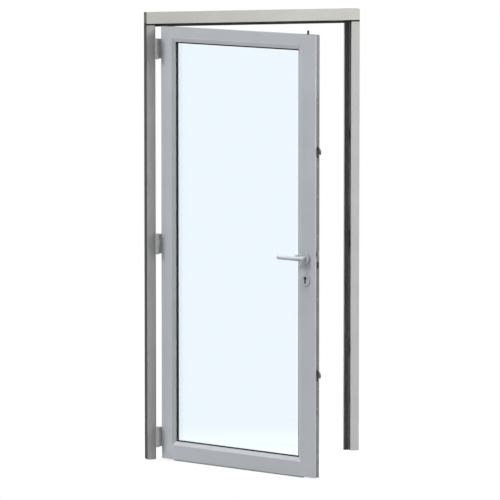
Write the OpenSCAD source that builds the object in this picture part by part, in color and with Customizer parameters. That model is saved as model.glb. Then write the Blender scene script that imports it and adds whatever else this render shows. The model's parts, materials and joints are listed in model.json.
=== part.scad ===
// Glazed aluminium door leaf in its frame, hung on three barrel hinges, with a
// hook-and-rod multipoint lock. Millimetres. The frame's front face is the plane
// y = 0, the floor is z = 0 and x = 0 is the middle of the doorway.

/* [Frame] */
// Overall width of the frame
frame_w = 1040; // [940:1:1240]
// Overall height of the frame
frame_h = 2100; // [2050:1:2300]
// Depth of the frame and of the leaf
frame_d = 45; // [44:0.5:50]
// Face width of the jambs
jamb_face = 40; // [38:1:60]
// Face width of the head
head_face = 53; // [50:1:80]
// Wall of every aluminium shell
wall = 2; // [1.6:0.1:2.4]
// Depth of the frame's front shell
frame_shell_d = 9; // [7:0.5:10]
// Depth of the frame's rear shell
frame_rear_d = 14; // [12:0.5:14.5]
// How far the hinge jamb's door stop reaches into the doorway
hinge_stop = 12; // [12:0.5:20]
// How far the lock jamb's door stop reaches into the doorway
lock_stop = 24; // [18:0.5:26]
// How far the head's door stop reaches into the doorway
head_stop = 16; // [16:0.5:20]
// Depth of the door stop
stop_t = 10; // [8:0.5:11]
// Thickness of the plastic bars that join the shells
bar_t = 2.5; // [2:0.1:3]
// Setback of the frame's plastic bars from the shells' sides
bar_inset = 1; // [0.5:0.1:1.5]
// Thickness of the sealing pads between jambs and head
pad_t = 8; // [4:0.5:10]
// Length of the spigots that join jambs and head
spigot_len = 60; // [40:1:90]
// Height of the lowest wall fixing
fixing_low = 200; // [150:5:250]
// Spacing of the wall fixings
fixing_pitch = 550; // [500:5:580]
// Number of wall fixings in each jamb
fixing_count = 4; // [3:1:4]
// Diameter of the wall fixing holes
fixing_d = 10.5; // [8:0.5:12]

/* [Stop gasket] */
// Room for the gasket between leaf and stop
seal_gap = 5; // [4.5:0.1:5.5]
// Free play between gasket and closed leaf
seal_play = 0.4; // [0.3:0.1:0.8]
// Distance from the reveal to the gasket
seal_root = 2; // [1:0.5:3]
// Distance from the stop's tip to the gasket
seal_inset = 1; // [0.5:0.5:2]

/* [Leaf] */
// Opening angle in which the leaf is drawn
open_angle = 57.5; // [0:0.5:105]
// Gap between leaf and jamb
side_gap = 9; // [8.5:0.1:9.5]
// Gap between leaf and head
top_gap = 11; // [9:0.5:12]
// Gap between leaf and floor
floor_gap = 8; // [7:0.5:12]
// Face width of the hinge stile
hinge_stile_face = 65; // [60:0.5:100]
// Face width of the lock stile
lock_stile_face = 83; // [82:0.5:100]
// Face width of the top rail
top_face = 49; // [45:1:90]
// Face width of the bottom rail
bottom_face = 66; // [60:1:120]
// Depth of the leaf's front shell
leaf_shell_d = 10; // [9:0.5:10.5]
// Depth of the core between the leaf's shells
core_d = 14; // [13:0.5:15]
// Width of the hardware groove in the leaf's edge
groove_w = 20; // [18:0.5:21]
// Depth of the hardware groove
groove_d = 3; // [2.5:0.5:4]
// Clearance between the leaf's rear part and the stop
setback_gap = 5; // [4:0.5:7]
// Length of the connectors inside the rails' ends
connector_len = 60; // [40:1:100]
// Length of the plugs in the stiles' ends
plug_len = 12; // [8:1:20]
// Height of the brush under the leaf
brush_h = 7; // [3:0.5:7]
// Thickness of the brush
brush_t = 8; // [4:0.5:12]

/* [Glazing] */
// Width of the glazing beads
bead_w = 20; // [17:0.5:24]
// Flat border of the glazing beads
bead_flat = 2; // [1:0.5:4]
// Depth that the bead's slope falls to
bead_fall = 6.5; // [3:0.5:8]
// Width of the fixed rear glazing leg
leg_w = 12; // [10:0.5:20]
// Thickness of the fixed rear glazing leg
leg_t = 3; // [2:0.5:3.5]
// Distance of the glazing leg from the leaf's rear face
leg_back = 6; // [4:0.5:7]
// Thickness of each pane
pane_t = 4; // [3:0.5:5]
// Thickness of the rear glazing gasket
rear_seal_t = 3; // [2:0.5:4]
// Thickness of the front glazing gasket
front_seal_t = 5; // [3:0.5:6]
// Distance from the glass edge to the pocket floor
glass_gap = 4; // [3:0.5:5]
// Width of the front glazing gasket
front_seal_w = 14; // [10:0.5:16]
// Width of the rear glazing gasket
rear_seal_w = 8; // [6:0.5:9]
// How far the front gasket shows beyond the bead
front_seal_show = 6; // [2:0.5:7]
// How far the rear gasket shows beyond its leg
rear_seal_show = 1; // [0.5:0.5:5]
// Setback of the spacer from the glass edge
spacer_inset = 1.5; // [1:0.5:4]
// Width of the spacer bar
spacer_w = 6.5; // [5:0.5:8]
// Length of the setting blocks
setting_len = 100; // [60:5:150]
// Distance of the setting blocks from the leaf's middle
setting_x = 250; // [150:5:300]

/* [Hinges] */
// Height of each hinge
hinge_h = 92; // [90:1:130]
// Height of the lowest hinge's middle
hinge_low = 110; // [100:1:250]
// Height of the middle hinge's middle
hinge_mid = 1020; // [900:5:1200]
// Distance from the leaf's top to the top hinge's middle
hinge_drop = 104; // [100:1:250]
// Distance of the hinge axis from the frame's face
axis_out = 23; // [20:0.5:26]
// Diameter of the hinge barrel
barrel_d = 18; // [17:0.5:20]
// Diameter of the hinge pin
pin_d = 8; // [7:0.5:9]
// Running clearance round pins and shafts
run_play = 0.05; // [0.03:0.01:0.1]
// Height of each frame knuckle
knuckle_h = 26; // [22:1:30]
// Wall of the hinge bush
bush_t = 2; // [1:0.25:2.25]
// Thickness of the bush's flanges
bush_flange_t = 1; // [0.6:0.1:2]
// End play of the bush between the knuckles
bush_play = 0.3; // [0.2:0.05:0.5]
// How far the wings reach into the gap between jamb and leaf
wing_reach = 28; // [20:0.5:29]
// Thickness of the wings
wing_t = 3; // [2.5:0.1:3.5]
// Clearance between the wings and the other knuckles
wing_play = 2; // [1:0.5:3]
// Thickness of the pin's end buttons
button_t = 3; // [2:0.5:5]
// Bevel of the pin's end buttons
button_bevel = 1.5; // [0.5:0.5:2]
// Setback of buttons and bush flanges from the barrel's side
rim_inset = 1; // [0.5:0.5:2]

/* [Lock] */
// Height of the handle spindle
spindle_z = 1015; // [950:5:1100]
// Distance of spindle and keyhole from the leaf's edge
backset = 58; // [55:0.5:58]
// Distance from spindle to keyhole
key_drop = 92; // [88:1:94]
// Diameter of the keyhole's round part
key_d = 17.5; // [17:0.1:18]
// Width of the keyhole's slot
key_slot_w = 10.4; // [10:0.1:11]
// Height of the whole keyhole
key_h = 33.4; // [33:0.1:34]
// Height of the faceplate's lower end
faceplate_low = 300; // [200:5:400]
// Height of the faceplate's upper end
faceplate_high = 1750; // [1650:5:1900]
// Play of plates in their groove and of bolts in their slots
slot_play = 0.3; // [0.2:0.05:0.5]
// Height of the lock case above the spindle
case_above = 70; // [68:1:90]
// Height of the lock case below the spindle
case_below = 147; // [145:1:170]
// Depth of the lock case behind the faceplate
case_w = 76; // [75:0.5:76.5]
// Play between the cases and the shells
case_play = 0.2; // [0.1:0.05:0.4]
// Height of the latch's middle above the spindle
latch_above = 24; // [24:0.5:26]
// Thickness of latch and dead bolt
bolt_t = 12; // [10:0.5:12]
// Height of the latch
latch_h = 22; // [18:0.5:22]
// How far the latch stands out
latch_out = 12; // [8:0.5:12]
// Length of the latch behind the leaf's edge
latch_in = 28; // [22:1:28]
// Distance of the dead bolt's middle below the spindle
bolt_below = 28; // [27:0.5:30]
// Height of the dead bolt
bolt_h = 30; // [24:0.5:30]
// How far the thrown dead bolt stands out
bolt_out = 20; // [14:0.5:20]
// Length of the thrown dead bolt behind the leaf's edge
bolt_in = 24; // [18:1:24]
// How far the drawn dead bolt lies behind the leaf's edge
bolt_sunk = 2; // [0.5:0.5:2]
// Radius of the follower that the spindle turns
follower_r = 10; // [9:0.5:10]
// Length of the follower's arm from the spindle axis
arm_len = 18; // [16:0.5:18]
// Width of the follower's arm
arm_w = 6; // [4:0.5:6]
// Gap between the follower's arm and the latch tail
arm_gap = 1.3; // [1.3:0.1:1.6]
// Thickness of the latch tail's lug
lug_t = 3; // [2:0.5:3]
// Height of the latch tail
tail_h = 6; // [4:0.5:7]

/* [Hooks and rods] */
// Height of the upper hook
upper_hook_z = 1502; // [1400:5:1600]
// Height of the lower hook
lower_hook_z = 479; // [420:5:600]
// Distance of the hook's centre from the leaf's edge
hook_inset = 8; // [7:0.5:9]
// Inner radius of the hook
hook_r_in = 14; // [12:0.5:16]
// Outer radius of the hook
hook_r_out = 26; // [24:0.5:26]
// Thickness of the hook
hook_t = 7; // [5:0.5:8]
// Angle that the thrown hook's tip points below level
hook_lead = 25; // [15:1:30]
// Angle of the hook that stays above level when thrown
hook_tail = 120; // [100:1:130]
// Half height of the hook cases
hook_case_half = 32; // [30:1:40]
// Depth of the hook cases behind the faceplate
hook_case_w = 64; // [62:1:70]
// Diameter of the rods
rod_d = 8; // [6:0.5:9]
// Diameter of the bolt at the upper rod's end
top_bolt_d = 10; // [9:0.5:11]
// Length of the bolt at the upper rod's end
top_bolt_len = 55; // [50:1:80]
// How far the top bolt stands above the leaf
top_bolt_out = 18; // [16:0.5:18]
// Travel of the rods
rod_travel = 18; // [17:0.5:19]
// Length of the top bolt's guide
guide_len = 20; // [14:1:28]

/* [Keeps] */
// Thickness of the keeps on jamb and head
keep_t = 2; // [1.5:0.1:2.5]
// Width of the keeps
keep_w = 26; // [22:0.5:27]
// Play of the bolts in their keeps
keep_play = 1.5; // [1:0.1:2]
// Border of the keeps beyond their slots
keep_border = 14; // [8:1:25]
// Length of the head's keep
head_keep_len = 60; // [40:1:100]

/* [Handles] */
// Diameter of roses and escutcheons
rose_d = 54; // [50:0.5:56]
// Thickness of the roses
rose_t = 8; // [6:0.5:12]
// Thickness of the keyhole escutcheons
escutcheon_t = 4; // [3:0.5:10]
// Diameter of the levers
lever_d = 20; // [18:0.5:22]
// Distance of the lever's axis from the leaf's face
lever_out = 42; // [40:1:65]
// Bend radius of the lever's axis
lever_bend = 18; // [16:0.5:20]
// Length of the lever from the spindle axis
lever_len = 131; // [110:1:150]
// Bevel round the lever's end
tip_bevel = 1.5; // [0.5:0.5:3]
// Size of the square spindle
spindle_w = 8; // [7:0.5:9]
// How far the spindle reaches into each lever
spindle_grip = 19; // [15:1:21]
// Gap between the levers' necks and the leaf
neck_gap = 0.5; // [0.3:0.1:1]

/* [Hidden] */
$fn = 64;

// Colours
aluminium = "#b3b7bb";
head_tone = "#c3c1bc";
black = "#1b1b1d";
steel = "#8f9295";
satin = "#c4c6c8";
glass_tint = [0.86, 0.93, 0.98, 0.35];
// Overlap of a cutting tool past the face that it cuts
cut = 1;

// Frame planes
frame_x = frame_w / 2;
frame_rear_y = frame_d - frame_rear_d;
stop_y = frame_d - stop_t;
head_z = frame_h - head_face;
jamb_top = head_z - pad_t;
reveal_x = frame_x - jamb_face;
hinge_stop_x = reveal_x - hinge_stop;
lock_stop_x = reveal_x - lock_stop;
bar_y = (frame_shell_d + frame_rear_y) / 2;

// Leaf planes
leaf_d = frame_d;
leaf_x = reveal_x - side_gap;
leaf_low = floor_gap;
leaf_high = head_z - top_gap;
lip_d = stop_y - seal_gap;
core_y = leaf_shell_d + core_d;
lock_y = leaf_shell_d + core_d / 2;
groove_y = lock_y - groove_w / 2;
groove_end_y = lock_y + groove_w / 2;
hinge_setback = hinge_stop - side_gap + setback_gap;
lock_setback = lock_stop - side_gap + setback_gap;
top_setback = head_stop - top_gap + setback_gap;
leg_end_y = leaf_d - leg_back;
leg_y = leg_end_y - leg_t;

// Glazing pocket
pocket_left = leaf_x - hinge_stile_face;
pocket_right = leaf_x - lock_stile_face;
pocket_low = leaf_low + bottom_face;
pocket_high = leaf_high - top_face;
bead_d = leaf_shell_d;
glass_y = bead_d + front_seal_t;
glass_end_y = leg_y - rear_seal_t;
front_seal_end = bead_w + front_seal_show;
rear_seal_end = leg_w + rear_seal_show;

// Hinges
axis_x = -(reveal_x + leaf_x) / 2;
axis_y = -axis_out;
hinge_heights = [hinge_low, hinge_mid, leaf_high - hinge_drop];
barrel_r = barrel_d / 2;
pin_bore_r = pin_d / 2 + run_play;
wing_start = barrel_r + wing_play;
leaf_knuckle_h = hinge_h - 2 * knuckle_h - 2 * bush_flange_t - 2 * bush_play;

// Lock
lock_x = leaf_x - backset;
key_z = spindle_z - key_drop;
latch_z = spindle_z + latch_above;
bolt_z = spindle_z - bolt_below;
bolt_len = bolt_in + bolt_out;
escutcheon_drop = key_drop + (key_h - key_d) / 2;
case_x = leaf_x - groove_d;
case_low = spindle_z - case_below;
case_high = spindle_z + case_above;
case_t = core_d - 2 * case_play;
hook_x = leaf_x - hook_inset;
hook_heights = [lower_hook_z, upper_hook_z];
rod_bore_r = rod_d / 2 + run_play;
lug_x = lock_x - arm_w / 2 - arm_gap;
tail_low = latch_z - tail_h / 2;
tail_high = latch_z + tail_h / 2;
lug_low = spindle_z + follower_r;
cavity_end_x = lug_x - lug_t - latch_out - slot_play;
upper_rod_low = tail_high + slot_play + rod_travel + 3 * cut;
lower_rod_high = key_z + key_d / 2 - key_h - rod_travel - 2 * cut;
top_bolt_high = leaf_high + top_bolt_out;
neck_len = lever_out - lever_bend;

// Swings what is drawn with the leaf closed to its opening angle
module swung() {
  translate([axis_x, axis_y, 0]) rotate([0, 0, -open_angle]) translate([-axis_x, -axis_y, 0]) children();
}

// Upright bar of a section whose x runs inward from the plane x = -outer
module upright(outer, low, high) {
  translate([-outer, 0, low]) linear_extrude(high - low) children();
}

// Level bar from x0 to x1 of a section whose x runs down from the height high
module level_down(x0, x1, high) {
  translate([x0, 0, high]) rotate([0, 90, 0]) linear_extrude(x1 - x0) children();
}

// Level bar from x0 to x1 of a section whose x runs up from the height low
module level_up(x0, x1, low) {
  translate([0, 0, low]) mirror([0, 0, 1]) level_down(x0, x1, 0) children();
}

module other_side() {
  mirror([1, 0, 0]) children();
}

// Plate of an x-z outline between two depths
module slab(y0, y1) {
  translate([0, y1, 0]) rotate([90, 0, 0]) linear_extrude(y1 - y0) children();
}

// Box given by its two corners
module span(low, high) {
  translate(low) cube(high - low);
}

module box_outline(x0, y0, x1, y1) {
  translate([x0, y0]) square([x1 - x0, y1 - y0]);
}

// Closed tube section between two corners
module tube_outline(x0, y0, x1, y1) {
  difference() {
    box_outline(x0, y0, x1, y1);
    box_outline(x0 + wall, y0 + wall, x1 - wall, y1 - wall);
  }
}

// Frame sections
module frame_front_section(face) {
  tube_outline(0, 0, face, frame_shell_d);
}

module frame_rear_section(face) {
  tube_outline(0, frame_rear_y, face, frame_d);
}

module stop_section(face, reach) {
  tube_outline(face - wall, stop_y, face + reach, frame_d);
}

module frame_bar_section(face) {
  for (a = [bar_inset, face - bar_inset - bar_t])
    box_outline(a, frame_shell_d, a + bar_t, frame_rear_y);
}

module fixing_holes() {
  for (i = [0 : fixing_count - 1])
    translate([-frame_x, bar_y, fixing_low + i * fixing_pitch])
      rotate([0, 90, 0]) cylinder(d = fixing_d, h = jamb_face);
}

// Slots that the bolts and hooks enter, as boxes through the jamb's reveal
module reveal_slot(low, high, half_y) {
  span(
    [reveal_x - keep_t - cut, lock_y - half_y, low],
    [reveal_x + bar_inset + bar_t + cut, lock_y + half_y, high]
  );
}

module latch_slots() {
  half_y = bolt_t / 2 + keep_play;
  reveal_slot(latch_z - latch_h / 2 - keep_play, latch_z + latch_h / 2 + keep_play, half_y);
  reveal_slot(bolt_z - bolt_h / 2 - keep_play, bolt_z + bolt_h / 2 + keep_play, half_y);
}

// The slot's lower edge lies below the hook by the play at a given reach of its tip
module hook_slot(z, reach) {
  reveal_slot(z - reach - keep_play, z + hook_r_out + keep_play / 2, hook_t / 2 + keep_play);
}

module top_bolt_slot() {
  translate([lock_x, lock_y, head_z - keep_t - cut])
    cylinder(d = top_bolt_d + 2 * keep_play, h = keep_t + bar_inset + bar_t + 2 * cut);
}

// Frame
module hinge_jamb_front() {
  color(aluminium) upright(frame_x, 0, jamb_top) frame_front_section(jamb_face);
}

module jamb_rear(reach) {
  upright(frame_x, 0, jamb_top) {
    frame_rear_section(jamb_face);
    stop_section(jamb_face, reach);
  }
}

module hinge_jamb_rear() {
  color(aluminium) jamb_rear(hinge_stop);
}

module lock_jamb_front() {
  color(aluminium) other_side() upright(frame_x, 0, jamb_top) frame_front_section(jamb_face);
}

module lock_jamb_rear() {
  color(aluminium) other_side() jamb_rear(lock_stop);
}

module head_front() {
  color(head_tone) level_down(-frame_x, frame_x, frame_h) frame_front_section(head_face);
}

module head_rear() {
  color(head_tone) {
    level_down(-frame_x, frame_x, frame_h) frame_rear_section(head_face);
    level_down(-hinge_stop_x, lock_stop_x, frame_h) stop_section(head_face, head_stop);
  }
}

module jamb_bars() {
  difference() {
    upright(frame_x, 0, jamb_top) frame_bar_section(jamb_face);
    fixing_holes();
  }
}

module frame_thermal_bars() {
  color(black) {
    jamb_bars();
    difference() {
      other_side() jamb_bars();
      latch_slots();
      for (z = hook_heights) hook_slot(z, hook_r_out * sin(hook_lead));
    }
    difference() {
      level_down(-frame_x, frame_x, frame_h) frame_bar_section(head_face);
      top_bolt_slot();
    }
  }
}

// Gasket with a flat foot and two rounded lips
module gasket_section(face, reach) {
  lip_r = (seal_gap - seal_play) / 2;
  start = face + seal_root;
  end = face + reach - seal_inset;
  box_outline(start, stop_y - lip_r, end, stop_y);
  for (x = [start + lip_r, end - lip_r])
    translate([x, stop_y - lip_r]) circle(r = lip_r);
}

module frame_gasket() {
  high = head_z - seal_root;
  color(black) {
    upright(frame_x, 0, high) gasket_section(jamb_face, hinge_stop);
    other_side() upright(frame_x, 0, high) gasket_section(jamb_face, lock_stop);
    level_down(-hinge_stop_x - seal_inset, lock_stop_x + seal_inset, frame_h)
      gasket_section(head_face, head_stop);
  }
}

// Solid outline of the jamb's rear chamber
module spigot_section(play) {
  box_outline(wall + play, frame_rear_y + wall + play, jamb_face - wall - play, frame_d - wall - play);
}

module joint_pad(reach) {
  upright(frame_x, jamb_top, head_z) difference() {
    union() {
      square([jamb_face, frame_d]);
      box_outline(jamb_face - cut, stop_y, jamb_face + reach, frame_d);
    }
    spigot_section(0);
  }
}

module joint_pads() {
  color(black) {
    joint_pad(hinge_stop);
    other_side() joint_pad(lock_stop);
  }
}

module jamb_spigots() {
  color(steel) {
    upright(frame_x, jamb_top - spigot_len, head_z) spigot_section(case_play);
    other_side() upright(frame_x, jamb_top - spigot_len, head_z) spigot_section(case_play);
  }
}

// Keep on the lock jamb's reveal
module keep_blank(low, high) {
  y0 = lock_y - keep_w / 2;
  span([reveal_x - keep_t, y0, low - keep_border], [reveal_x, y0 + keep_w, high + keep_border]);
}

module strike_plate() {
  color(steel) difference() {
    keep_blank(bolt_z - bolt_h / 2, latch_z + latch_h / 2);
    latch_slots();
  }
}

module hook_keeps() {
  color(steel) for (z = hook_heights)
    difference() {
      keep_blank(z - hook_r_in, z + hook_r_out);
      hook_slot(z, (reveal_x - hook_x) * tan(hook_lead));
    }
}

module head_keep() {
  y0 = lock_y - keep_w / 2;
  color(steel) difference() {
    span(
      [lock_x - head_keep_len / 2, y0, head_z - keep_t],
      [lock_x + head_keep_len / 2, y0 + keep_w, head_z]
    );
    top_bolt_slot();
  }
}

// Knuckle with the neck of its wing, seen along the hinge axis with the jamb on the left
module knuckle_outline(bore_r) {
  difference() {
    union() {
      circle(r = barrel_r);
      translate([-side_gap / 2, 0]) square([wing_t, wing_start + cut]);
    }
    circle(r = bore_r);
  }
}

// Wing that lies on the jamb's reveal
module wing_outline() {
  translate([-side_gap / 2, wing_start]) square([wing_t, axis_out + wing_reach - wing_start]);
}

module at_hinge(z) {
  translate([axis_x, axis_y, z]) children();
}

module hinge_frame_wings() {
  color(satin) for (z = hinge_heights) at_hinge(z) {
    translate([0, 0, -hinge_h / 2]) linear_extrude(hinge_h) wing_outline();
    for (low = [-hinge_h / 2, hinge_h / 2 - knuckle_h])
      translate([0, 0, low]) linear_extrude(knuckle_h) knuckle_outline(pin_bore_r);
  }
}

module hinge_pins() {
  color(steel) for (z = hinge_heights) at_hinge(z) {
    cylinder(d = pin_d, h = hinge_h + button_t, center = true);
    for (side = [-1, 1]) translate([0, 0, side * (hinge_h / 2 + button_t / 2)])
      rotate_extrude() button_outline(side);
  }
}

// Half section of a flat button with a bevelled rim
module button_outline(side) {
  rim = barrel_r - rim_inset;
  half = side * button_t / 2;
  polygon([[0, -half], [rim, -half], [rim, 0], [rim - button_bevel, half], [0, half]]);
}

module hinge_leaf_wings() {
  color(satin) swung() for (z = hinge_heights) at_hinge(z) other_side() {
    translate([0, 0, -hinge_h / 2]) linear_extrude(hinge_h) wing_outline();
    translate([0, 0, -leaf_knuckle_h / 2]) linear_extrude(leaf_knuckle_h)
      knuckle_outline(pin_bore_r + bush_t);
  }
}

module hinge_bushes() {
  flange_r = barrel_r - rim_inset;
  color(black) swung() for (z = hinge_heights) at_hinge(z) difference() {
    union() {
      cylinder(r = pin_bore_r + bush_t, h = leaf_knuckle_h, center = true);
      for (side = [-1, 1]) translate([0, 0, side * (leaf_knuckle_h + bush_flange_t) / 2])
        cylinder(r = flange_r, h = bush_flange_t, center = true);
    }
    cylinder(r = pin_bore_r, h = hinge_h, center = true);
  }
}

// Leaf sections
module leaf_front_section(face) {
  difference() {
    polygon([
      [0, 0], [face, 0], [face, leaf_shell_d], [groove_d, leaf_shell_d], [groove_d, groove_y], [0, groove_y]
    ]);
    front_chamber(face);
  }
}

module front_chamber(face) {
  box_outline(groove_d + wall, wall, face - wall, leaf_shell_d - wall);
}

module leaf_rear_section(face, setback) {
  difference() {
    polygon([
      [groove_d, core_y], [face, core_y], [face, leaf_d], [setback, leaf_d],
      [setback, lip_d], [0, lip_d], [0, groove_end_y], [groove_d, groove_end_y]
    ]);
    rear_chamber(face, setback);
  }
}

module rear_chamber(face, setback) {
  polygon([
    [groove_d + wall, core_y + wall], [face - wall, core_y + wall], [face - wall, leaf_d - wall],
    [setback + wall, leaf_d - wall], [setback + wall, lip_d - wall], [groove_d + wall, lip_d - wall]
  ]);
}

module leaf_bar_section(face) {
  for (b = [groove_d, face - bar_t]) box_outline(b, leaf_shell_d, b + bar_t, core_y);
}

module leg_section(face) {
  box_outline(face, leg_y, face + leg_w, leg_end_y);
}

// Keyhole outline with its round part at the origin
module keyhole_outline() {
  drop = key_h - key_d / 2 - key_slot_w / 2;
  circle(d = key_d);
  box_outline(-key_slot_w / 2, -drop, key_slot_w / 2, 0);
  translate([0, -drop]) circle(d = key_slot_w);
}

module keyhole(y0, y1) {
  translate([lock_x, 0, key_z]) slab(y0, y1) keyhole_outline();
}

module spindle_hole(y0, y1, r) {
  translate([lock_x, y1, spindle_z]) rotate([90, 0, 0]) cylinder(r = r, h = y1 - y0);
}

module stile_front(face) {
  upright(leaf_x, leaf_low, leaf_high) leaf_front_section(face);
}

// The rear shell stops short at the top, where the head's door stop passes
module stile_rear(face, setback) {
  difference() {
    union() {
      upright(leaf_x, leaf_low, leaf_high) leaf_rear_section(face, setback);
      upright(leaf_x, pocket_low + leg_w, pocket_high - leg_w) leg_section(face);
    }
    stile_top_cut(face);
  }
}

module stile_top_cut(face) {
  span(
    [-leaf_x - cut, lip_d, leaf_high - top_setback],
    [-leaf_x + face + cut, leaf_d + cut, leaf_high + cut]
  );
}

module hinge_stile_front() {
  color(aluminium) swung() stile_front(hinge_stile_face);
}

module hinge_stile_rear() {
  color(aluminium) swung() stile_rear(hinge_stile_face, hinge_setback);
}

module lock_holes(y0, y1) {
  keyhole(y0 - cut, y1 + cut);
  spindle_hole(y0 - cut, y1 + cut, follower_r);
}

module lock_stile_front() {
  color(aluminium) swung() difference() {
    other_side() stile_front(lock_stile_face);
    lock_holes(0, leaf_shell_d);
  }
}

module lock_stile_rear() {
  color(aluminium) swung() difference() {
    other_side() stile_rear(lock_stile_face, lock_setback);
    lock_holes(core_y, leaf_d);
  }
}

// Rails between the stiles
module rail_down() {
  level_down(-pocket_left, pocket_right, leaf_high) children();
}

module rail_up() {
  level_up(-pocket_left, pocket_right, leaf_low) children();
}

module top_rail_front() {
  color(aluminium) swung() rail_down() leaf_front_section(top_face);
}

module top_rail_rear() {
  color(aluminium) swung() rail_down() {
    leaf_rear_section(top_face, top_setback);
    leg_section(top_face);
  }
}

module bottom_rail_front() {
  color(aluminium) swung() rail_up() leaf_front_section(bottom_face);
}

module bottom_rail_rear() {
  color(aluminium) swung() rail_up() {
    leaf_rear_section(bottom_face, 0);
    leg_section(bottom_face);
  }
}

// Room for lock case and hook cases in the lock stile's outer bar
module case_notches() {
  x0 = case_x - bar_t - cut;
  y0 = leaf_shell_d - cut;
  span([x0, y0, case_low - slot_play], [leaf_x, core_y + cut, case_high + slot_play]);
  for (z = hook_heights)
    span([x0, y0, z - hook_case_half - slot_play], [leaf_x, core_y + cut, z + hook_case_half + slot_play]);
}

module leaf_thermal_bars() {
  color(black) swung() {
    upright(leaf_x, leaf_low, leaf_high) leaf_bar_section(hinge_stile_face);
    difference() {
      other_side() upright(leaf_x, leaf_low, leaf_high) leaf_bar_section(lock_stile_face);
      case_notches();
    }
    rail_down() leaf_bar_section(top_face);
    rail_up() leaf_bar_section(bottom_face);
  }
}

module connector_section(face, setback) {
  box_outline(
    setback + wall + case_play, lip_d - wall + case_play, face - wall - case_play, leaf_d - wall - case_play
  );
}

module rail_connectors() {
  color(steel) swung() for (x = [-pocket_left, pocket_right - connector_len]) {
    level_down(x, x + connector_len, leaf_high) connector_section(top_face, top_setback);
    level_up(x, x + connector_len, leaf_low) connector_section(bottom_face, 0);
  }
}

module core_section(face) {
  box_outline(groove_d + bar_t, leaf_shell_d, face - bar_t, core_y);
}

// Plugs that close a stile's chambers at top and bottom
module stile_plug_set(face, setback) {
  for (low = [leaf_low, leaf_high - plug_len])
    upright(leaf_x, low, low + plug_len) front_chamber(face);
  upright(leaf_x, leaf_low, leaf_low + plug_len) rear_chamber(face, setback);
  difference() {
    upright(leaf_x, leaf_high - top_setback - plug_len, leaf_high) rear_chamber(face, setback);
    stile_top_cut(face);
  }
}

module stile_plugs() {
  color(black) swung() {
    stile_plug_set(hinge_stile_face, hinge_setback);
    other_side() stile_plug_set(lock_stile_face, lock_setback);
    for (low = [leaf_low, leaf_high - plug_len])
      upright(leaf_x, low, low + plug_len) core_section(hinge_stile_face);
    other_side() upright(leaf_x, leaf_low, leaf_low + plug_len) core_section(lock_stile_face);
  }
}

// Glazing
module bead_section() {
  polygon([[0, 0], [bead_flat, 0], [bead_w, bead_fall], [bead_w, bead_d], [0, bead_d]]);
}

module side_bead(edge) {
  intersection() {
    upright(edge, pocket_low, pocket_high) bead_section();
    slab(-cut, bead_d + cut) translate([-edge, 0]) polygon([
      [0, pocket_low], [bead_w, pocket_low + bead_w], [bead_w, pocket_high - bead_w], [0, pocket_high]
    ]);
  }
}

// Outline that mitres a level bead, with its long side at height z
module level_mitre(z, side) {
  inner = z + side * bead_w;
  slab(-cut, bead_d + cut) polygon([
    [-pocket_left, z], [pocket_right, z], [pocket_right - bead_w, inner], [-pocket_left + bead_w, inner]
  ]);
}

module bead_left() {
  color(aluminium) swung() side_bead(pocket_left);
}

module bead_right() {
  color(aluminium) swung() other_side() side_bead(pocket_right);
}

module bead_top() {
  color(aluminium) swung() intersection() {
    level_down(-pocket_left, pocket_right, pocket_high) bead_section();
    level_mitre(pocket_high, -1);
  }
}

module bead_bottom() {
  color(aluminium) swung() intersection() {
    level_up(-pocket_left, pocket_right, pocket_low) bead_section();
    level_mitre(pocket_low, 1);
  }
}

// Outline of the pocket, drawn in by an equal border
module pocket_outline(border) {
  box_outline(-pocket_left + border, pocket_low + border, pocket_right - border, pocket_high - border);
}

module pocket_ring(outer, inner, y0, y1) {
  slab(y0, y1) difference() {
    pocket_outline(outer);
    pocket_outline(inner);
  }
}

module glass_front() {
  color(glass_tint) swung() slab(glass_y, glass_y + pane_t) pocket_outline(glass_gap);
}

module glass_rear() {
  color(glass_tint) swung() slab(glass_end_y - pane_t, glass_end_y) pocket_outline(glass_gap);
}

module glass_spacer() {
  start = glass_gap + spacer_inset;
  color(black) swung() pocket_ring(start, start + spacer_w, glass_y + pane_t, glass_end_y - pane_t);
}

module front_glazing_gasket() {
  color(black) swung() pocket_ring(front_seal_end - front_seal_w, front_seal_end, bead_d, glass_y);
}

module rear_glazing_gasket() {
  color(black) swung() pocket_ring(rear_seal_end - rear_seal_w, rear_seal_end, glass_end_y, leg_y);
}

module setting_blocks() {
  color(black) swung() for (side = [-1, 1])
    span(
      [side * setting_x - setting_len / 2, glass_y, pocket_low],
      [side * setting_x + setting_len / 2, glass_end_y, pocket_low + glass_gap]
    );
}

module bottom_seal() {
  color(black) swung() {
    span([-pocket_left, groove_y, leaf_low], [pocket_right, groove_end_y, leaf_low + groove_d]);
    span(
      [-pocket_left, lock_y - brush_t / 2, leaf_low - brush_h],
      [pocket_right, lock_y + brush_t / 2, leaf_low + cut]
    );
  }
}

// Lock
module bolt_channel(z, h, depth) {
  half_y = bolt_t / 2 + slot_play;
  half_z = h / 2 + slot_play;
  span([leaf_x - depth, lock_y - half_y, z - half_z], [leaf_x + cut, lock_y + half_y, z + half_z]);
}

module bolt_channels() {
  bolt_channel(latch_z, latch_h, latch_in + latch_out + slot_play);
  bolt_channel(bolt_z, bolt_h, bolt_len + bolt_sunk + slot_play);
}

module hook_window(z) {
  half_y = hook_t / 2 + slot_play;
  half_z = hook_r_out + slot_play;
  span([leaf_x - groove_d - cut, lock_y - half_y, z - half_z], [leaf_x + cut, lock_y + half_y, z + half_z]);
}

module lock_faceplate() {
  color(steel) swung() difference() {
    span(
      [leaf_x - groove_d, groove_y + case_play, faceplate_low],
      [leaf_x, groove_end_y - case_play, faceplate_high]
    );
    bolt_channels();
    for (z = hook_heights) hook_window(z);
  }
}

module case_block(depth, low, high) {
  span([case_x - depth, lock_y - case_t / 2, low], [case_x, lock_y + case_t / 2, high]);
}

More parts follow.
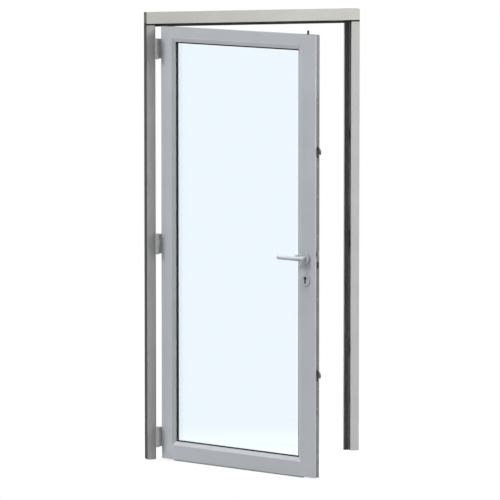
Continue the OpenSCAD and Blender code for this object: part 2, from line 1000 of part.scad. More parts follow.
module rod_bore(low, high) {
  translate([lock_x, lock_y, low]) cylinder(r = rod_bore_r, h = high - low);
}

// Room for the latch tail and for the follower's arm
module tail_cavity() {
  half_y = bolt_t / 2 + slot_play;
  span(
    [cavity_end_x, lock_y - half_y, tail_low - slot_play],
    [leaf_x - latch_in, lock_y + half_y, tail_high + slot_play]
  );
  span([cavity_end_x, lock_y - half_y, spindle_z], [lock_x + arm_w, lock_y + half_y, tail_low]);
}

module lock_case() {
  color(steel) swung() difference() {
    case_block(case_w, case_low, case_high);
    bolt_channels();
    tail_cavity();
    keyhole(leaf_shell_d, core_y);
    spindle_hole(leaf_shell_d, core_y, follower_r + run_play);
    rod_bore(upper_rod_low - rod_travel - cut, case_high + cut);
    rod_bore(case_low - cut, lower_rod_high + rod_travel + cut);
  }
}

// Ring sector about the hook's centre, from the angle start, level outward being 0 and up positive
module hook_ring(start, sweep, r_in, r_out, thick) {
  rotate([90, 0, 0]) rotate([0, 0, start]) rotate_extrude(angle = sweep)
    translate([r_in, -thick / 2]) square([r_out - r_in, thick]);
}

module at_hook(z) {
  translate([hook_x, lock_y, z]) children();
}

module hook_cases() {
  color(steel) swung() for (z = hook_heights) difference() {
    case_block(hook_case_w, z - hook_case_half, z + hook_case_half);
    at_hook(z) hook_ring(0, 360, hook_r_in - slot_play, hook_r_out + slot_play, hook_t + 2 * slot_play);
    rod_bore(z - hook_case_half - cut, z + hook_case_half + cut);
  }
}

module rod_guide() {
  color(black) swung() difference() {
    other_side() upright(leaf_x, leaf_high - guide_len, leaf_high) core_section(lock_stile_face);
    translate([lock_x, lock_y, leaf_high - guide_len - cut])
      cylinder(d = top_bolt_d + 2 * run_play, h = guide_len + 2 * cut);
  }
}

module latch_bolt() {
  tail_half = bolt_t / 4;
  color(satin) swung() difference() {
    union() {
      span(
        [leaf_x - latch_in, lock_y - bolt_t / 2, latch_z - latch_h / 2],
        [leaf_x + latch_out, lock_y + bolt_t / 2, latch_z + latch_h / 2]
      );
      span([lug_x - lug_t, lock_y - tail_half, tail_low], [leaf_x - latch_in, lock_y + tail_half, tail_high]);
      span([lug_x - lug_t, lock_y - tail_half, lug_low], [lug_x, lock_y + tail_half, tail_high]);
    }
    latch_bevel();
  }
}

// The latch is bevelled on the side that meets the strike first
module latch_bevel() {
  translate([0, 0, latch_z - latch_h / 2 - cut]) linear_extrude(latch_h + 2 * cut) polygon([
    [leaf_x + slot_play, lock_y + bolt_t / 2], [leaf_x + latch_out, lock_y - bolt_t / 4],
    [leaf_x + latch_out + cut, lock_y - bolt_t / 4], [leaf_x + latch_out + cut, lock_y + bolt_t]
  ]);
}

// The dead bolt is drawn back
module dead_bolt() {
  end_x = leaf_x - bolt_sunk;
  color(satin) swung() span(
    [end_x - bolt_len, lock_y - bolt_t / 2, bolt_z - bolt_h / 2],
    [end_x, lock_y + bolt_t / 2, bolt_z + bolt_h / 2]
  );
}

module hook(z) {
  color(steel) swung() at_hook(z) hook_ring(-hook_lead, hook_lead + hook_tail, hook_r_in, hook_r_out, hook_t);
}

module upper_hook() {
  hook(upper_hook_z);
}

module lower_hook() {
  hook(lower_hook_z);
}

module upper_rod() {
  bolt_low = top_bolt_high - top_bolt_len;
  point = top_bolt_d / 5;
  color(steel) swung() translate([lock_x, lock_y, 0]) {
    translate([0, 0, upper_rod_low]) cylinder(d = rod_d, h = bolt_low - upper_rod_low + cut);
    translate([0, 0, bolt_low]) cylinder(d = top_bolt_d, h = top_bolt_len - point);
    translate([0, 0, top_bolt_high - point])
      cylinder(d1 = top_bolt_d, d2 = top_bolt_d - 2 * point, h = point);
  }
}

module lower_rod() {
  low = lower_hook_z - hook_case_half + slot_play;
  color(steel) swung() translate([lock_x, lock_y, low]) cylinder(d = rod_d, h = lower_rod_high - low);
}

// Handles
module spindle_square(y0, y1) {
  half = spindle_w / 2;
  span([lock_x - half, y0, spindle_z - half], [lock_x + half, y1, spindle_z + half]);
}

module follower() {
  half_t = bolt_t / 2;
  half_w = arm_w / 2;
  color(steel) swung() difference() {
    union() {
      spindle_hole(lock_y - case_t / 2, lock_y + case_t / 2, follower_r);
      span(
        [lock_x - half_w, lock_y - half_t, spindle_z],
        [lock_x + half_w, lock_y + half_t, spindle_z + arm_len]
      );
    }
    spindle_square(leaf_shell_d, core_y);
  }
}

module spindle() {
  color(steel) swung() spindle_square(-neck_gap - spindle_grip, leaf_d + neck_gap + spindle_grip);
}

module rose(y0, y1) {
  difference() {
    spindle_hole(y0, y1, rose_d / 2);
    spindle_hole(y0 - cut, y1 + cut, lever_d / 2 + run_play);
  }
}

module front_rose() {
  color(satin) swung() rose(-rose_t, 0);
}

module rear_rose() {
  color(satin) swung() rose(leaf_d, leaf_d + rose_t);
}

module escutcheon(y0, y1) {
  difference() {
    translate([0, 0, -escutcheon_drop]) spindle_hole(y0, y1, rose_d / 2);
    keyhole(y0 - cut, y1 + cut);
  }
}

module front_escutcheon() {
  color(satin) swung() escutcheon(-escutcheon_t, 0);
}

module rear_escutcheon() {
  color(satin) swung() escutcheon(leaf_d, leaf_d + escutcheon_t);
}

// Lever that rises from the plane y = 0 towards the front and turns to the hinge side
module lever() {
  lever_r = lever_d / 2;
  bar_len = lever_len - lever_bend - tip_bevel;
  translate([0, -neck_gap, 0]) rotate([90, 0, 0]) cylinder(r = lever_r, h = neck_len - neck_gap);
  translate([-lever_bend, -neck_len, 0]) rotate([0, 0, -90])
    rotate_extrude(angle = 90) translate([lever_bend, 0]) circle(r = lever_r);
  translate([-lever_bend, -lever_out, 0]) rotate([0, -90, 0]) {
    cylinder(r = lever_r, h = bar_len);
    translate([0, 0, bar_len]) cylinder(r1 = lever_r, r2 = lever_r - tip_bevel, h = tip_bevel);
  }
}

module front_lever() {
  color(satin) swung() difference() {
    translate([lock_x, 0, spindle_z]) lever();
    spindle_square(-neck_gap - spindle_grip, 0);
  }
}

module rear_lever() {
  color(satin) swung() difference() {
    translate([lock_x, leaf_d, spindle_z]) mirror([0, 1, 0]) lever();
    spindle_square(leaf_d, leaf_d + neck_gap + spindle_grip);
  }
}

hinge_jamb_front();
hinge_jamb_rear();
lock_jamb_front();
lock_jamb_rear();
head_front();
head_rear();
frame_thermal_bars();
frame_gasket();
joint_pads();
jamb_spigots();
strike_plate();
hook_keeps();
head_keep();
hinge_frame_wings();
hinge_pins();
hinge_stile_front();
hinge_stile_rear();
lock_stile_front();
lock_stile_rear();
top_rail_front();
top_rail_rear();
bottom_rail_front();
bottom_rail_rear();
leaf_thermal_bars();
rail_connectors();
stile_plugs();
hinge_leaf_wings();
hinge_bushes();
bead_left();
bead_right();
bead_top();
bead_bottom();
glass_front();
glass_rear();
glass_spacer();
front_glazing_gasket();
rear_glazing_gasket();
setting_blocks();
bottom_seal();
lock_faceplate();
lock_case();
hook_cases();
rod_guide();
front_rose();
rear_rose();
front_escutcheon();
rear_escutcheon();
front_lever();
rear_lever();
spindle();
follower();
latch_bolt();
dead_bolt();
upper_hook();
lower_hook();
upper_rod();
lower_rod();
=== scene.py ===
"""Glazed aluminium door in its frame: finishes, small fasteners, studio light and camera."""
import json
import math

import bmesh
import bpy
from mathutils import Matrix, Vector


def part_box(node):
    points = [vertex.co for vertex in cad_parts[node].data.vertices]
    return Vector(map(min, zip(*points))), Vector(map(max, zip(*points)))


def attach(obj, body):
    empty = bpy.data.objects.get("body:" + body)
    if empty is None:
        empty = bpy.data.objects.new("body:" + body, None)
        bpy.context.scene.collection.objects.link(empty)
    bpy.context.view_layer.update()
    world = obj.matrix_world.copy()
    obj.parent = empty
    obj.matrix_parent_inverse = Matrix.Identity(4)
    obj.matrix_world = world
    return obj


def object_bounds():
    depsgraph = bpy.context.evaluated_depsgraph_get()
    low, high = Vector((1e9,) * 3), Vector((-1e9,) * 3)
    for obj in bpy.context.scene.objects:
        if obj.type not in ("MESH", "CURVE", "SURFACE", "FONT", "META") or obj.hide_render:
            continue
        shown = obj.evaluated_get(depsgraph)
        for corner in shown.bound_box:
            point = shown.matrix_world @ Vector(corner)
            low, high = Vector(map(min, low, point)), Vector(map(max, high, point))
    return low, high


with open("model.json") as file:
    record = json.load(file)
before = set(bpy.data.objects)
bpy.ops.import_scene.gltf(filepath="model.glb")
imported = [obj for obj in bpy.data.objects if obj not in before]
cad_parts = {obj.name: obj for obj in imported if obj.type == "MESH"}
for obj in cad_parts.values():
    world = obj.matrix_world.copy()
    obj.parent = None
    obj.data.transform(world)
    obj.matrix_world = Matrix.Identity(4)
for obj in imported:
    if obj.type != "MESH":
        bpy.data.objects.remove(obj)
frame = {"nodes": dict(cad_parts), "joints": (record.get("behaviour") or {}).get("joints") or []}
cad_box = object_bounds()
nodes = frame["nodes"]
joints = {joint["name"]: joint for joint in frame["joints"]}


# Places on the door, in metres, with the leaf closed
def leaf_matrix():
    """Moves what is drawn with the leaf closed to the leaf's place at rest."""
    swing = joints["leaf_swing"]
    opened = math.radians(-swing["range_deg"][0])
    axis_x, axis_y, _ = swing["pos_m"]
    to_axis = Matrix.Translation(Vector((axis_x, axis_y, 0)))
    return to_axis @ Matrix.Rotation(-opened, 4, "Z") @ to_axis.inverted()


# Move from the closed door to the rest pose, for each body that carries screws
TO_REST = {"frame": Matrix.Identity(4), "leaf": leaf_matrix()}


def closed_edge(name):
    """Furthest x of one of the leaf's nodes, with the leaf closed."""
    to_closed = TO_REST["leaf"].inverted()
    return max((to_closed @ vertex.co).x for vertex in nodes[name].data.vertices)


MM = 0.001
strike_low, strike_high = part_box("strike_plate")
head_keep_low, head_keep_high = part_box("head_keep")
FRAME_X = cad_box[1].x
REVEAL_X = strike_high.x
KEEP_FACE_X = strike_low.x
HEAD_KEEP_FACE_Z = head_keep_low.z
LOCK_X = (head_keep_low.x + head_keep_high.x) / 2
LOCK_Y = (strike_low.y + strike_high.y) / 2
LEAF_EDGE_X = closed_edge("lock_faceplate")
HOOK_HEIGHTS = [joints[name]["pos_m"][2] for name in ("lower_hook_turn", "upper_hook_turn")]
# Heights of the hinges' middles, and thickness of their wings
HINGE_HEIGHTS = (0.110, 1.020, 1.932)
WING_T = 3 * MM

# Textures: noise in features to the metre, relief in metres
CLOUD_SCALE = 6.0
SPECKLE_SCALE = 1600.0
PEEL_SCALE = 900.0
PEEL_RELIEF = 0.1 * MM
TARNISH_SCALE = 18.0
STREAK_SCALE = 1400.0
STREAK_RELIEF = 0.04 * MM
GRAIN_SCALE = 700.0
GRAIN_RELIEF = 0.1 * MM
PILE_SCALE = 1800.0
FILM_SCALE = 2.5
# How far the dark, dull colour of the frame's outer sides laps round their edges
OUTER_DARK_LAP = 0.3 * MM
OUTER_DARK_ROUGHNESS = 0.95
GLASS_IOR = 1.45
# Scale of a texture along each axis: under 1 draws it out
EVEN = (1, 1, 1)
PILE = (1, 1, 0.04)
EXTRUDED = (1, 1, 0.05)
BRUSHED = (1, 1, 0.02)
DRAWN = (1, 1, 0.1)

# Sockets of a colour mix and of a shader mix, by their index
MIX_SHARE = 0
MIX_FIRST = 6
MIX_SECOND = 7
MIX_RESULT = 2
FIRST_SHADER = 1
SECOND_SHADER = 2


# Colours
def srgb(r, g, b):
    """Linear colour of an sRGB colour in 0 to 255."""
    def linear(v):
        v /= 255
        return v / 12.92 if v <= 0.04045 else ((v + 0.055) / 1.055) ** 2.4
    return linear(r), linear(g), linear(b), 1.0


def grey(value):
    """Linear grey."""
    return value, value, value, 1.0


def scaled(colour, factor):
    """Lighter or darker colour, no lighter than white."""
    return tuple(min(1.0, c * factor) for c in colour[:3]) + (1.0,)


WHITE = grey(1.0)
SPECKLE_DARK = grey(0.93)
STREAK_DARK = grey(0.84)


# Shader nodes
def new_material(name):
    """Empty material, with its node tree and its shader."""
    material = bpy.data.materials.new(name)
    material.use_nodes = True
    tree = material.node_tree
    return material, tree, tree.nodes["Principled BSDF"]


def add(tree, kind, **values):
    """New node with its settings."""
    node = tree.nodes.new(kind)
    for key, value in values.items():
        setattr(node, key, value)
    return node


def feed(tree, source, socket):
    """Links a socket to another one, or sets it to a plain value."""
    if isinstance(source, bpy.types.NodeSocket):
        tree.links.new(source, socket)
    else:
        socket.default_value = source


def noise(tree, scale, detail=3.0, stretch=EVEN):
    """Noise in the object's own metres, stretched along its axes."""
    place = add(tree, "ShaderNodeTexCoord")
    mapping = add(tree, "ShaderNodeMapping")
    mapping.inputs["Scale"].default_value = stretch
    texture = add(tree, "ShaderNodeTexNoise")
    texture.inputs["Scale"].default_value = scale
    texture.inputs["Detail"].default_value = detail
    tree.links.new(place.outputs["Object"], mapping.inputs["Vector"])
    tree.links.new(mapping.outputs["Vector"], texture.inputs["Vector"])
    return texture.outputs["Fac"]


def ramp(tree, source, low, high, start=0.3, end=0.7):
    """Colour that runs from low to high as the source goes from start to end."""
    node = add(tree, "ShaderNodeValToRGB")
    node.color_ramp.elements[0].position = start
    node.color_ramp.elements[1].position = end
    node.color_ramp.elements[0].color = low
    node.color_ramp.elements[1].color = high
    tree.links.new(source, node.inputs["Fac"])
    return node.outputs["Color"]


def varied(tree, source, colour, darkest, lightest):
    """Colour that runs between two multiples of itself with the source."""
    return ramp(tree, source, scaled(colour, darkest), scaled(colour, lightest))


def level(tree, source, low, high):
    """Number that runs from low to high with the source."""
    node = add(tree, "ShaderNodeMapRange")
    node.inputs["To Min"].default_value = low
    node.inputs["To Max"].default_value = high
    tree.links.new(source, node.inputs["Value"])
    return node.outputs["Result"]


def calculated(tree, operation, first, second=0.0):
    """Number worked out from one or two others."""
    node = add(tree, "ShaderNodeMath", operation=operation)
    feed(tree, first, node.inputs[0])
    feed(tree, second, node.inputs[1])
    return node.outputs[0]


def mixed(tree, share, first, second, blend_type="MIX"):
    """Colour made of two others, by the second one's share."""
    node = add(tree, "ShaderNodeMix", data_type="RGBA", blend_type=blend_type)
    feed(tree, share, node.inputs[MIX_SHARE])
    feed(tree, first, node.inputs[MIX_FIRST])
    feed(tree, second, node.inputs[MIX_SECOND])
    return node.outputs[MIX_RESULT]


def mixed_shaders(tree, share, first, second):
    """Shader made of two others, by the second one's share."""
    node = add(tree, "ShaderNodeMixShader")
    tree.links.new(share, node.inputs["Fac"])
    tree.links.new(first, node.inputs[FIRST_SHADER])
    tree.links.new(second, node.inputs[SECOND_SHADER])
    return node.outputs["Shader"]


def bump(tree, shader, source, relief, strength):
    """Relief of the surface, from the source."""
    node = add(tree, "ShaderNodeBump")
    node.inputs["Distance"].default_value = relief
    node.inputs["Strength"].default_value = strength
    tree.links.new(source, node.inputs["Height"])
    tree.links.new(node.outputs["Normal"], shader.inputs["Normal"])


# Materials
def outer_side_mask(tree):
    """1 on the outer sides of the frame."""
    place = add(tree, "ShaderNodeTexCoord")
    axes = add(tree, "ShaderNodeSeparateXYZ")
    tree.links.new(place.outputs["Object"], axes.inputs["Vector"])
    distance = calculated(tree, "ABSOLUTE", axes.outputs["X"])
    return calculated(tree, "GREATER_THAN", distance, FRAME_X - OUTER_DARK_LAP)


def powder_coat(name, colour, outer_side_dark=None):
    """Satin powder coat: fine orange peel, a fine speckle and faint clouds in the tone.

    On the frame, the outer sides are drawn dark and dull.
    """
    material, tree, shader = new_material(name)
    clouds = varied(tree, noise(tree, CLOUD_SCALE), colour, darkest=0.96, lightest=1.04)
    speckle = ramp(tree, noise(tree, SPECKLE_SCALE), SPECKLE_DARK, WHITE)
    tone = mixed(tree, 1.0, clouds, speckle, "MULTIPLY")
    peel = noise(tree, PEEL_SCALE, detail=2.0)
    roughness = level(tree, peel, low=0.34, high=0.52)
    if outer_side_dark:
        mask = outer_side_mask(tree)
        tone = mixed(tree, mask, tone, outer_side_dark)
        outer_dark_roughness = calculated(tree, "MULTIPLY", mask, OUTER_DARK_ROUGHNESS)
        roughness = calculated(tree, "MAXIMUM", roughness, outer_dark_roughness)
    tree.links.new(tone, shader.inputs["Base Color"])
    tree.links.new(roughness, shader.inputs["Roughness"])
    bump(tree, shader, peel, PEEL_RELIEF, strength=0.5)
    return material


def metal(name, colour, smoothest, roughest, stretch):
    """Metal with a fine grain, even or drawn out along an axis."""
    material, tree, shader = new_material(name)
    streaks = noise(tree, STREAK_SCALE, detail=4.0, stretch=stretch)
    clouds = varied(tree, noise(tree, TARNISH_SCALE), colour, darkest=0.96, lightest=1.12)
    brushed = ramp(tree, streaks, STREAK_DARK, WHITE, start=0.35, end=0.65)
    tree.links.new(mixed(tree, 1.0, clouds, brushed, "MULTIPLY"), shader.inputs["Base Color"])
    tree.links.new(level(tree, streaks, smoothest, roughest), shader.inputs["Roughness"])
    shader.inputs["Metallic"].default_value = 1.0
    bump(tree, shader, streaks, STREAK_RELIEF, strength=0.3)
    return material


def plastic(name, colour, roughness, stretch=EVEN, scale=GRAIN_SCALE):
    """Dull plastic, rubber or pile with a fine grain."""
    material, tree, shader = new_material(name)
    grain = noise(tree, scale, detail=4.0, stretch=stretch)
    tree.links.new(varied(tree, grain, colour, darkest=0.7, lightest=1.4), shader.inputs["Base Color"])
    tree.links.new(level(tree, grain, roughness - 0.1, roughness + 0.1), shader.inputs["Roughness"])
    shader.inputs["Specular IOR Level"].default_value = 0.25
    bump(tree, shader, grain, GRAIN_RELIEF, strength=0.4)
    return material


def pane(name, colour):
    """Clear glass with a faint tint and a trace of unevenness in its gloss."""
    material, tree, shader = new_material(name)
    shader.inputs["Base Color"].default_value = colour
    shader.inputs["Transmission Weight"].default_value = 1.0
    shader.inputs["IOR"].default_value = GLASS_IOR
    film = noise(tree, FILM_SCALE)
    tree.links.new(level(tree, film, low=0.0, high=0.015), shader.inputs["Roughness"])
    return material


# Dark, dull colour drawn on the frame's outer sides
OUTER_SIDE_DARK = srgb(26, 26, 27)
LEAF_COAT = powder_coat("leaf_coat", srgb(171, 175, 180))
# The hinge jamb's coat is drawn darker than the lock jamb's: painted shade, for the shade that the open
# leaf casts on it.
HINGE_JAMB_PAINTED_SHADE = powder_coat("hinge_jamb_painted_shade", srgb(155, 155, 154), OUTER_SIDE_DARK)
JAMB_COAT = powder_coat("jamb_coat", srgb(175, 175, 173), OUTER_SIDE_DARK)
HEAD_COAT = powder_coat("head_coat", srgb(185, 183, 177), OUTER_SIDE_DARK)
# The top bead's coat is drawn lighter than the leaf's: painted light on its downward-facing slope.
UPPER_BEAD_PAINTED_LIGHT = powder_coat("upper_bead_painted_light", srgb(187, 190, 194))
# The bottom bead's coat is drawn a little lighter than the leaf's: painted light on its upward-facing
# slope.
LOWER_BEAD_PAINTED_LIGHT = powder_coat("lower_bead_painted_light", srgb(178, 180, 185))
# The hinge-side bead's coat is drawn darker than the leaf's: painted shade on its slope.
HINGE_BEAD_PAINTED_SHADE = powder_coat("hinge_bead_painted_shade", srgb(159, 162, 163))
FITTING_COAT = powder_coat("fitting_coat", srgb(168, 171, 174))
LEVER_COAT = powder_coat("lever_coat", srgb(178, 183, 190))
HINGE_COAT = powder_coat("hinge_coat", srgb(150, 152, 153))
POLYAMIDE = plastic("polyamide", srgb(56, 56, 58), 0.6, EXTRUDED)
LEAF_POLYAMIDE = plastic("leaf_polyamide", srgb(116, 114, 112), 0.6, EXTRUDED)
RUBBER = plastic("rubber", srgb(12, 12, 13), 0.75)
STOP_RUBBER = plastic("stop_rubber", srgb(77, 77, 76), 0.7)
BRUSH = plastic("brush", srgb(190, 192, 194), 0.8, PILE, PILE_SCALE)
FACE_STEEL = metal("face_steel", srgb(122, 121, 118), 0.3, 0.45, BRUSHED)
HOOK_STEEL = metal("hook_steel", srgb(108, 103, 97), 0.3, 0.45, EVEN)
DARK_STEEL = metal("dark_steel", srgb(64, 62, 61), 0.35, 0.5, DRAWN)
BOLT_STEEL = metal("bolt_steel", srgb(168, 169, 170), 0.25, 0.4, DRAWN)
ZINC = metal("zinc", srgb(160, 161, 162), 0.3, 0.5, EVEN)
GLASS = pane("pane_glass", srgb(246, 251, 255))

FINISHES = {
    LEAF_COAT: (
        "hinge_stile_front", "hinge_stile_rear", "lock_stile_front", "lock_stile_rear", "top_rail_front",
        "top_rail_rear", "bottom_rail_front", "bottom_rail_rear", "bead_right",
    ),
    UPPER_BEAD_PAINTED_LIGHT: ("bead_top",),
    LOWER_BEAD_PAINTED_LIGHT: ("bead_bottom",),
    HINGE_BEAD_PAINTED_SHADE: ("bead_left",),
    HINGE_JAMB_PAINTED_SHADE: ("hinge_jamb_front", "hinge_jamb_rear"),
    JAMB_COAT: ("lock_jamb_front", "lock_jamb_rear"),
    HEAD_COAT: ("head_front", "head_rear"),
    FITTING_COAT: ("front_rose", "rear_rose", "front_escutcheon", "rear_escutcheon"),
    LEVER_COAT: ("front_lever", "rear_lever"),
    HINGE_COAT: ("hinge_frame_wings", "hinge_leaf_wings"),
    POLYAMIDE: ("frame_thermal_bars", "stile_plugs", "rod_guide", "setting_blocks", "hinge_bushes"),
    LEAF_POLYAMIDE: ("leaf_thermal_bars",),
    RUBBER: ("joint_pads", "front_glazing_gasket", "rear_glazing_gasket", "glass_spacer"),
    STOP_RUBBER: ("frame_gasket",),
    BRUSH: ("bottom_seal",),
    FACE_STEEL: ("lock_faceplate", "strike_plate", "hook_keeps", "head_keep", "lock_case", "hook_cases"),
    HOOK_STEEL: ("upper_hook", "lower_hook"),
    DARK_STEEL: ("upper_rod", "lower_rod", "dead_bolt"),
    BOLT_STEEL: ("spindle", "follower", "latch_bolt", "rail_connectors", "jamb_spigots"),
    ZINC: ("hinge_pins",),
    GLASS: ("glass_front", "glass_rear"),
}


def finish_nodes():
    """Gives every node its finish, and lets light through the panes."""
    for material, names in FINISHES.items():
        for name in names:
            node = nodes[name]
            node.data.materials.clear()
            node.data.materials.append(material)
    for name in FINISHES[GLASS]:
        nodes[name].visible_shadow = False


finish_nodes()

# Small fasteners
PLATE_SCREW_R = 3.6 * MM
HINGE_SCREW_R = 3.2 * MM
# Outline of a screw's head, from its neck to the rim of its socket: radius and height in head radii
SCREW_OUTLINE = ((0.55, -0.35), (1.0, -0.02), (0.97, 0.06), (0.8, 0.11), (0.52, 0.12))
SCREW_SIDES = 32
SOCKET_SIDES = 6
# Radius, top and floor of a screw's socket, in head radii
SOCKET_R = 0.42
SOCKET_TOP = 0.1
SOCKET_FLOOR = -0.3
# Largest four-sided face that is shaded smooth, in squared head radii
SMOOTH_AREA = 0.05
# Heights of the faceplate's screws, clear of its slots
FACEPLATE_SCREWS = (0.325, 0.42, 0.54, 0.7, 0.83, 1.12, 1.3, 1.44, 1.565, 1.725)
# From the ends of the strike plate, from a hook's pivot, and from the middle of the head's keep
STRIKE_SCREW_INSET = 6.5 * MM
HOOK_KEEP_SCREWS = (-17.8 * MM, 33.4 * MM)
HEAD_KEEP_SCREW = 20 * MM
# Depth of a hinge wing's screws, and their rise from the hinge's middle
HINGE_SCREWS = ((0.005, -0.034), (0.018, -0.012), (0.018, 0.012), (0.005, 0.034))


def ring(mesh, sides, radius, height):
    """Points of a level polygon round the z axis."""
    angles = [2 * math.pi * i / sides for i in range(sides)]
    return [mesh.verts.new((radius * math.cos(a), radius * math.sin(a), height)) for a in angles]


def skin(mesh, lower, upper):
    """Faces between two rings with as many points each."""
    for i in range(len(lower)):
        j = (i + 1) % len(lower)
        mesh.faces.new((lower[i], lower[j], upper[j], upper[i]))


def loop_edges(verts):
    """Edges that join a ring's points."""
    pairs = zip(verts, verts[1:] + verts[:1])
    return [next(edge for edge in a.link_edges if b in edge.verts) for a, b in pairs]


def screw_mesh(name, radius):
    """Countersunk head with a rounded rim and a six-sided socket, its top just proud of z = 0."""
    mesh = bmesh.new()
    rings = [ring(mesh, SCREW_SIDES, radius * r, radius * z) for r, z in SCREW_OUTLINE]
    for lower, upper in zip(rings, rings[1:]):
        skin(mesh, lower, upper)
    mesh.faces.new(list(reversed(rings[0])))
    mouth = ring(mesh, SOCKET_SIDES, radius * SOCKET_R, radius * SOCKET_TOP)
    floor = ring(mesh, SOCKET_SIDES, radius * SOCKET_R, radius * SOCKET_FLOOR)
    skin(mesh, mouth, floor)
    mesh.faces.new(floor)
    bmesh.ops.bridge_loops(mesh, edges=loop_edges(rings[-1]) + loop_edges(mouth))
    data = bpy.data.meshes.new(name)
    bmesh.ops.recalc_face_normals(mesh, faces=mesh.faces)
    mesh.to_mesh(data)
    mesh.free()
    for polygon in data.polygons:
        small = polygon.area < radius * radius * SMOOTH_AREA
        polygon.use_smooth = small and len(polygon.vertices) == 4
    data.materials.append(ZINC)
    return data


def add_screw(name, data, place, normal, body):
    """One screw with its head at a place and along a normal of the closed door."""
    piece = bpy.data.objects.new(name, data)
    bpy.context.scene.collection.objects.link(piece)
    turn = Vector(normal).to_track_quat("Z", "Y").to_matrix().to_4x4()
    piece.matrix_world = TO_REST[body] @ Matrix.Translation(Vector(place)) @ turn
    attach(piece, body)


def add_faceplate_screws(data):
    """Screws along the leaf's lock edge."""
    for i, z in enumerate(FACEPLATE_SCREWS, 1):
        add_screw(f"faceplate_screw_{i}", data, (LEAF_EDGE_X, LOCK_Y, z), (1, 0, 0), "leaf")


def add_keep_screws(data):
    """Screws of the strike plate, the hooks' keeps and the head's keep."""
    strike_heights = (strike_low.z + STRIKE_SCREW_INSET, strike_high.z - STRIKE_SCREW_INSET)
    for i, z in enumerate(strike_heights, 1):
        add_screw(f"strike_screw_{i}", data, (KEEP_FACE_X, LOCK_Y, z), (-1, 0, 0), "frame")
    for i, hook in enumerate(HOOK_HEIGHTS, 1):
        for j, offset in enumerate(HOOK_KEEP_SCREWS, 1):
            place = (KEEP_FACE_X, LOCK_Y, hook + offset)
            add_screw(f"hook_keep_screw_{i}_{j}", data, place, (-1, 0, 0), "frame")
    for i, side in enumerate((-1, 1), 1):
        place = (LOCK_X + side * HEAD_KEEP_SCREW, LOCK_Y, HEAD_KEEP_FACE_Z)
        add_screw(f"head_keep_screw_{i}", data, place, (0, 0, -1), "frame")


def add_hinge_screws(data):
    """Screws of the hinges' wings, on the jamb's side and on the leaf's."""
    for i, z in enumerate(HINGE_HEIGHTS, 1):
        for j, (y, rise) in enumerate(HINGE_SCREWS, 1):
            jamb_place = (-REVEAL_X + WING_T, y, z + rise)
            add_screw(f"hinge_frame_screw_{i}_{j}", data, jamb_place, (1, 0, 0), "frame")
            leaf_place = (-LEAF_EDGE_X - WING_T, y, z - rise)
            add_screw(f"hinge_leaf_screw_{i}_{j}", data, leaf_place, (-1, 0, 0), "leaf")


plate_screw = screw_mesh("plate_screw", PLATE_SCREW_R)
hinge_screw = screw_mesh("hinge_screw", HINGE_SCREW_R)
add_faceplate_screws(plate_screw)
add_keep_screws(plate_screw)
add_hinge_screws(hinge_screw)

# Stage and light
FLOOR_SIZE = 60.0
FLOOR_ROUGHNESS = 0.8
FLOOR_TINT = grey(0.93)
# Floor tint in the light that it throws back on the door
FLOOR_BOUNCE = grey(0.3)
# Share of plain white in the floor beside the door, and the distances between which it grows to 1
FLOOR_WHITE = 0.78
FADE_START = 0.3
FADE_END = 1.1
AMBIENT = 0.6
# Lamps: place, point that they face, diameter in metres and power in watts
LAMPS = {
    "key": ((4.4, -3.1, 4.4), (0.2, 0.0, 1.1), 1.6, 330),
    "fill": ((-15.0, 0.6, 13.0), (0.0, -0.5, 1.0), 6.6, 1760),
    "top": ((-3.0, -1.0, 11.0), (0.0, -0.5, 1.0), 2.6, 560),
}


def seen_directly(tree):
    """1 for rays that show the background, 0 for those that only light the object."""
    path = add(tree, "ShaderNodeLightPath")
    seen = calculated(tree, "MAXIMUM", path.outputs["Is Camera Ray"], path.outputs["Is Glossy Ray"])
    return calculated(tree, "MAXIMUM", seen, path.outputs["Is Transmission Ray"])


def white_share(tree):
    """Share of plain white in the floor, growing with the distance from the door."""
    place = add(tree, "ShaderNodeTexCoord")
    reach = add(tree, "ShaderNodeVectorMath", operation="LENGTH")
    fade = add(tree, "ShaderNodeMapRange", interpolation_type="SMOOTHSTEP")
    fade.inputs["From Min"].default_value = FADE_START
    fade.inputs["From Max"].default_value = FADE_END
    fade.inputs["To Min"].default_value = FLOOR_WHITE
    fade.inputs["To Max"].default_value = 1.0
    tree.links.new(place.outputs["Object"], reach.inputs[0])
    tree.links.new(reach.outputs["Value"], fade.inputs["Value"])
    return fade.outputs["Result"]


def floor_material():
    """Pale floor that keeps the door's shadow and turns to plain white further out."""
    material, tree, shader = new_material("pale_floor")
    seen = seen_directly(tree)
    tree.links.new(mixed(tree, seen, FLOOR_BOUNCE, FLOOR_TINT), shader.inputs["Base Color"])
    shader.inputs["Roughness"].default_value = FLOOR_ROUGHNESS
    white = add(tree, "ShaderNodeEmission")
    share = calculated(tree, "MULTIPLY", seen, white_share(tree))
    surface = mixed_shaders(tree, share, shader.outputs["BSDF"], white.outputs["Emission"])
    tree.links.new(surface, tree.nodes["Material Output"].inputs["Surface"])
    return material


def add_floor():
    """Level floor under the door."""
    bpy.ops.mesh.primitive_plane_add(size=FLOOR_SIZE)
    floor = bpy.context.object
    floor.name = "floor"
    floor.data.materials.append(floor_material())


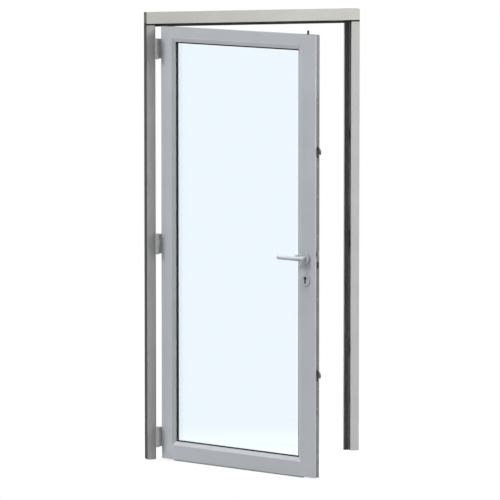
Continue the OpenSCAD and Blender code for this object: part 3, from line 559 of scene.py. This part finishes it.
def add_world():
    """Soft white light from all round, and a plain white backdrop."""
    world = bpy.data.worlds.new("studio")
    bpy.context.scene.world = world
    world.use_nodes = True
    tree = world.node_tree
    ambient = tree.nodes["Background"]
    ambient.inputs["Color"].default_value = WHITE
    ambient.inputs["Strength"].default_value = AMBIENT
    backdrop = add(tree, "ShaderNodeBackground")
    backdrop.inputs["Color"].default_value = WHITE
    lighting = ambient.outputs["Background"]
    surface = mixed_shaders(tree, seen_directly(tree), lighting, backdrop.outputs["Background"])
    tree.links.new(surface, tree.nodes["World Output"].inputs["Surface"])


def add_lamp(name, place, target, size, power):
    """Round soft lamp, out of the camera's sight."""
    data = bpy.data.lights.new(name, "AREA")
    data.shape = "DISK"
    data.size = size
    data.energy = power
    lamp = bpy.data.objects.new(name, data)
    bpy.context.scene.collection.objects.link(lamp)
    lamp.location = place
    lamp.rotation_euler = (Vector(target) - Vector(place)).to_track_quat("-Z", "Y").to_euler()
    lamp.visible_camera = False


# Camera, fitted to the edges of frame and leaf, with its lens and sensor in millimetres
CAMERA_AZIMUTH = math.radians(-16.421)
CAMERA_ELEVATION = math.radians(6.304)
CAMERA_DISTANCE = 23.494
CAMERA_TARGET = Vector((-0.0184, 0.0, 0.9741))
CAMERA_LENS = 360.0
CAMERA_SENSOR = 36.0
CAMERA_REACH = 200.0


def add_camera():
    """Camera at the photograph's viewing angle."""
    data = bpy.data.cameras.new("camera")
    data.lens = CAMERA_LENS
    data.sensor_width = CAMERA_SENSOR
    data.clip_end = CAMERA_REACH
    camera = bpy.data.objects.new("camera", data)
    bpy.context.scene.collection.objects.link(camera)
    back = Vector((
        math.sin(CAMERA_AZIMUTH) * math.cos(CAMERA_ELEVATION),
        -math.cos(CAMERA_AZIMUTH) * math.cos(CAMERA_ELEVATION),
        math.sin(CAMERA_ELEVATION),
    ))
    camera.location = CAMERA_TARGET + CAMERA_DISTANCE * back
    camera.rotation_euler = back.to_track_quat("Z", "Y").to_euler()
    bpy.context.scene.camera = camera


add_floor()
add_world()
for lamp_name, lamp_settings in LAMPS.items():
    add_lamp(lamp_name, *lamp_settings)
add_camera()
bpy.context.scene.view_settings.view_transform = "Standard"
